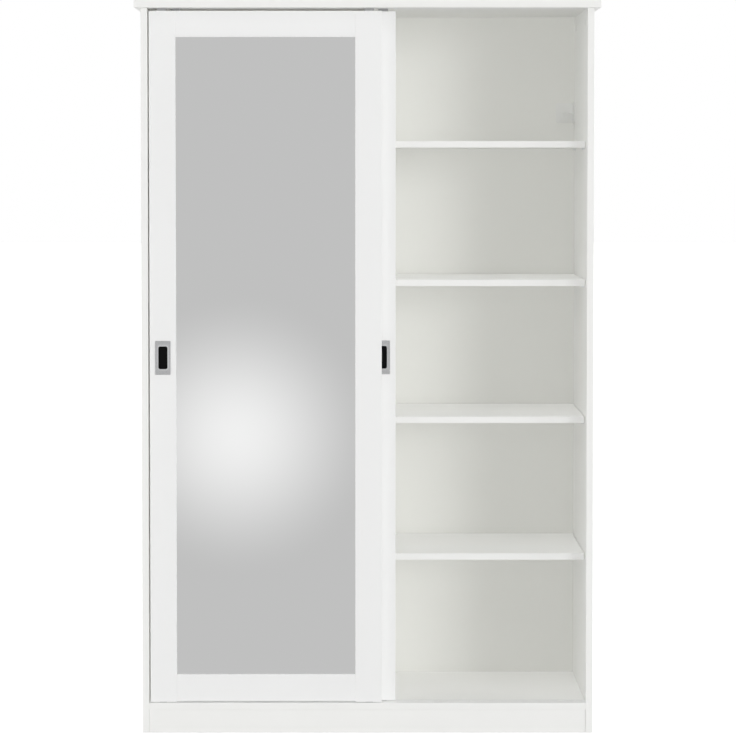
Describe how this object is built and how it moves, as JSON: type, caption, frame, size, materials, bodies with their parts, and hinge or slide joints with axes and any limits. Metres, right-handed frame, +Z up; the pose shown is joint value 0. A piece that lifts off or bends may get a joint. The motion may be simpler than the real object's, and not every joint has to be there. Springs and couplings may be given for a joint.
{
  "type": "sliding-door wardrobe",
  "caption": "Free-standing wardrobe whose framed mirror doors slide past each other on housed rollers, with shelves on one side and a hanging bay on the other.",
  "frame": {"origin": "on the floor, under the middle of the top panel's outline", "axes": "+Z up, the doors face -Y, +X to the right of someone who faces the doors"},
  "size_m": [1.264, 0.617, 2],
  "materials": {
    "white_board": "satin",
    "door_foil": "satin",
    "hardboard": "matte",
    "white_plastic": "matte",
    "track_plastic": "satin",
    "nylon": "matte",
    "wheel_nylon": "satin",
    "chrome": "polished",
    "zinc_steel": "zinc plated",
    "zinc_cast": "cast, satin",
    "beech": "raw",
    "mirror": "polished",
    "brushed_steel": "brushed",
    "black_plastic": "satin"
  },
  "bodies": {
    "carcass": {"top_panel": "white_board", "bottom_panel": "white_board", "left_side_panel": "white_board", "right_side_panel": "white_board", "centre_divider": "white_board", "front_plinth": "white_board", "rear_plinth": "white_board", "plinth_cross_rail": "white_board", "upper_shelf": "white_board", "second_shelf": "white_board", "middle_shelf": "white_board", "lower_shelf": "white_board", "hat_shelf": "white_board", "left_back_panel": "hardboard", "right_back_panel": "hardboard", "back_joint_strip": "white_plastic", "bottom_track": "track_plastic", "top_track": "track_plastic", "track_stops": "nylon", "clothes_rail": "chrome", "rail_sockets": "chrome", "shelf_pins": "zinc_steel", "cam_locks": "zinc_cast", "cam_bolts": "zinc_steel", "dowels": "beech", "plinth_blocks": "nylon", "floor_glides": "nylon", "left_wall_bracket": "white_plastic", "right_wall_bracket": "white_plastic"},
    "front_door": {"front_left_stile": "door_foil", "front_right_stile": "door_foil", "front_top_rail": "door_foil", "front_bottom_rail": "door_foil", "front_mirror": "mirror", "front_mirror_backing": "hardboard", "front_pull_plate": "brushed_steel", "front_pull_cup": "black_plastic", "front_roller_housings": "nylon", "front_roller_axles": "zinc_steel", "front_door_guides": "nylon"},
    "front_left_roller": {"front_left_wheel": "wheel_nylon"},
    "front_right_roller": {"front_right_wheel": "wheel_nylon"},
    "rear_door": {"rear_left_stile": "door_foil", "rear_right_stile": "door_foil", "rear_top_rail": "door_foil", "rear_bottom_rail": "door_foil", "rear_mirror": "mirror", "rear_mirror_backing": "hardboard", "rear_pull_plate": "brushed_steel", "rear_pull_cup": "black_plastic", "rear_roller_housings": "nylon", "rear_roller_axles": "zinc_steel", "rear_door_guides": "nylon"},
    "rear_left_roller": {"rear_left_wheel": "wheel_nylon"},
    "rear_right_roller": {"rear_right_wheel": "wheel_nylon"}
  },
  "joints": [
    {"name": "front_door_slide", "type": "slide", "parent": "carcass", "child": "front_door", "axis": [1, 0, 0], "range_m": [0, 0.5544]},
    {"name": "front_left_roller_spin", "type": "hinge", "parent": "front_door", "child": "front_left_roller", "pos_m": [-0.5592, -0.2735, 0.0897], "axis": [0, 1, 0], "continuous": true},
    {"name": "front_right_roller_spin", "type": "hinge", "parent": "front_door", "child": "front_right_roller", "pos_m": [0.0048, -0.2735, 0.0897], "axis": [0, 1, 0], "continuous": true},
    {"name": "rear_door_slide", "type": "slide", "parent": "carcass", "child": "rear_door", "axis": [1, 0, 0], "range_m": [-0.0379, 0.5165]},
    {"name": "rear_left_roller_spin", "type": "hinge", "parent": "rear_door", "child": "rear_left_roller", "pos_m": [-0.5213, -0.2455, 0.0897], "axis": [0, 1, 0], "continuous": true},
    {"name": "rear_right_roller_spin", "type": "hinge", "parent": "rear_door", "child": "rear_right_roller", "pos_m": [0.0427, -0.2455, 0.0897], "axis": [0, 1, 0], "continuous": true}
  ],
  "couplings": [
    {"joint": "front_left_roller_spin", "follows": "front_door_slide", "rad_per_m": 90.909},
    {"joint": "front_right_roller_spin", "follows": "front_door_slide", "rad_per_m": 90.909},
    {"joint": "rear_left_roller_spin", "follows": "rear_door_slide", "rad_per_m": 90.909},
    {"joint": "rear_right_roller_spin", "follows": "rear_door_slide", "rad_per_m": 90.909}
  ]
}
